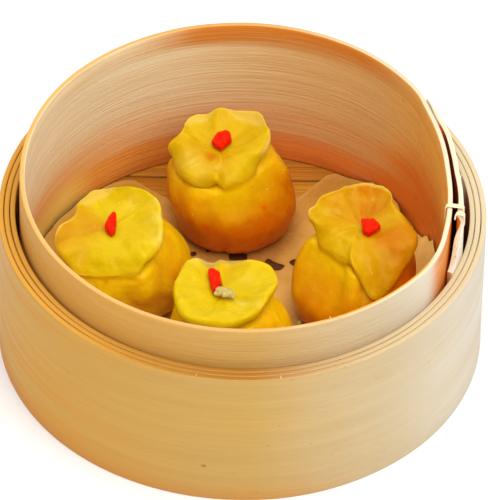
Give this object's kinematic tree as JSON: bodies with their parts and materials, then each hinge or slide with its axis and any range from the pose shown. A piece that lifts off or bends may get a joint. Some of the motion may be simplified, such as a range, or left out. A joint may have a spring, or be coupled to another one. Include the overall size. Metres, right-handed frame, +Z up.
{
  "type": "basket of crystal dumplings",
  "caption": "Round bamboo steamer basket, open at the top, with translucent money-bag dumplings topped with red vegetable on a perforated paper liner.",
  "frame": {"origin": "centre of the basket's outer circle, on the surface that it stands on", "axes": "+Z up, through the open top; -Y towards the front of the basket; +X to the side where the inner hoop laps over itself and is tied with cane"},
  "size_m": [0.18, 0.18, 0.0804],
  "materials": {
    "bamboo": "split bamboo, warm tan with fine grain along the strip, satin",
    "bamboo_pale": "planed bamboo, pale cream outside and orange-brown where it is damp inside, fine grain, satin",
    "cane": "flat split cane, pale straw, satin",
    "paper": "damp greaseproof paper, pinkish tan, slightly glossy, with dark die-cut holes",
    "skin": "cooked wheat-starch skin, translucent lemon yellow over an orange filling, wet gloss",
    "red": "cut red vegetable, wet gloss",
    "cream": "pale cream crumb, soft sheen"
  },
  "bodies": {
    "root": {"outer_band": "bamboo", "middle_band": "bamboo_pale", "inner_band": "bamboo_pale", "hoop": "bamboo_pale", "hoop_lap": "bamboo_pale", "lower_hoop": "bamboo", "slat_01": "bamboo", "slat_02": "bamboo", "slat_03": "bamboo", "slat_04": "bamboo", "slat_05": "bamboo", "slat_06": "bamboo", "slat_07": "bamboo", "slat_08": "bamboo", "slat_09": "bamboo", "slat_10": "bamboo", "slat_11": "bamboo", "slat_12": "bamboo", "slat_13": "bamboo", "batten_1": "bamboo", "batten_2": "bamboo", "liner": "paper", "dumpling_rear": "skin", "red_piece_rear": "red", "dumpling_left": "skin", "red_piece_left": "red", "dumpling_front": "skin", "red_piece_front": "red", "dumpling_right": "skin", "red_piece_right": "red", "cream_crumb": "cream", "cane_tie_1": "cane", "cane_tie_2": "cane"}
  },
  "joints": []
}
